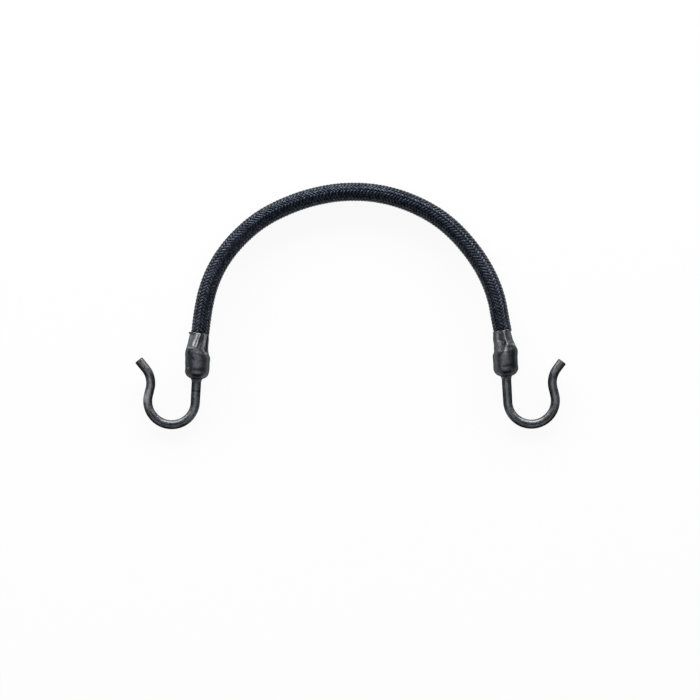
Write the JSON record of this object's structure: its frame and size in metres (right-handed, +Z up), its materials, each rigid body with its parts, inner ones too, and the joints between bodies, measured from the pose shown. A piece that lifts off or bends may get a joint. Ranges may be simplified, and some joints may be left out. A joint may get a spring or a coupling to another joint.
{
  "type": "bungee cord",
  "caption": "Short elastic cord in a braided cover, with a crimped bell ferrule and a swivelling open wire hook at each end, lying in an arch. Ties down or bundles loads.",
  "frame": {"origin": "on the floor, midway between the two ends, measured on the ferrules and hooks without the cord", "axes": "+X from the left hook to the right hook, +Y from the hooks to the middle of the cord's arch, +Z up"},
  "size_m": [0.1977, 0.1134, 0.0123],
  "materials": {
    "coated_wire": "satin black coat, lightly grained, rubbed grey on the bends",
    "coated_ferrule": "satin black coat, grained, worn grey on the crimp's ridges",
    "clip_wire": "plain zinc-plated wire",
    "braid": "blue-black polyester yarn, braided, slight sheen",
    "rubber": "cut natural rubber, matt"
  },
  "bodies": {
    "left_end": {"left_ferrule": "coated_ferrule", "left_cord_clip": "clip_wire", "braided_cover": "braid", "rubber_strand_01": "rubber", "rubber_strand_02": "rubber", "rubber_strand_03": "rubber", "rubber_strand_04": "rubber", "rubber_strand_05": "rubber", "rubber_strand_06": "rubber", "rubber_strand_07": "rubber", "rubber_strand_08": "rubber", "rubber_strand_09": "rubber", "rubber_strand_10": "rubber", "rubber_strand_11": "rubber", "rubber_strand_12": "rubber", "rubber_strand_13": "rubber", "rubber_strand_14": "rubber", "rubber_strand_15": "rubber", "rubber_strand_16": "rubber", "rubber_strand_17": "rubber", "rubber_strand_18": "rubber", "rubber_strand_19": "rubber", "rubber_strand_20": "rubber", "rubber_strand_21": "rubber"},
    "left_hook": {"left_hook": "coated_wire"},
    "right_end": {"right_ferrule": "coated_ferrule", "right_cord_clip": "clip_wire"},
    "right_hook": {"right_hook": "coated_wire"}
  },
  "joints": [
    {"name": "left_hook_swivel", "type": "hinge", "parent": "left_end", "child": "left_hook", "pos_m": [-0.07072, 0.01612, 0.00727], "axis": [0.0605, 0.9886, 0.1377], "continuous": true},
    {"name": "cord_stretch", "type": "slide", "parent": "left_end", "child": "right_end", "axis": [1, 0, 0], "range_m": [0, 0.115], "stiffness_N_per_m": 350, "deforming": ["braided_cover", "rubber_strand_01", "rubber_strand_02", "rubber_strand_03", "rubber_strand_04", "rubber_strand_05", "rubber_strand_06", "rubber_strand_07", "rubber_strand_08", "rubber_strand_09", "rubber_strand_10", "rubber_strand_11", "rubber_strand_12", "rubber_strand_13", "rubber_strand_14", "rubber_strand_15", "rubber_strand_16", "rubber_strand_17", "rubber_strand_18", "rubber_strand_19", "rubber_strand_20", "rubber_strand_21"]},
    {"name": "right_hook_swivel", "type": "hinge", "parent": "right_end", "child": "right_hook", "pos_m": [0.07054, 0.0172, 0.00721], "axis": [0.0605, -0.9894, -0.1321], "continuous": true}
  ]
}
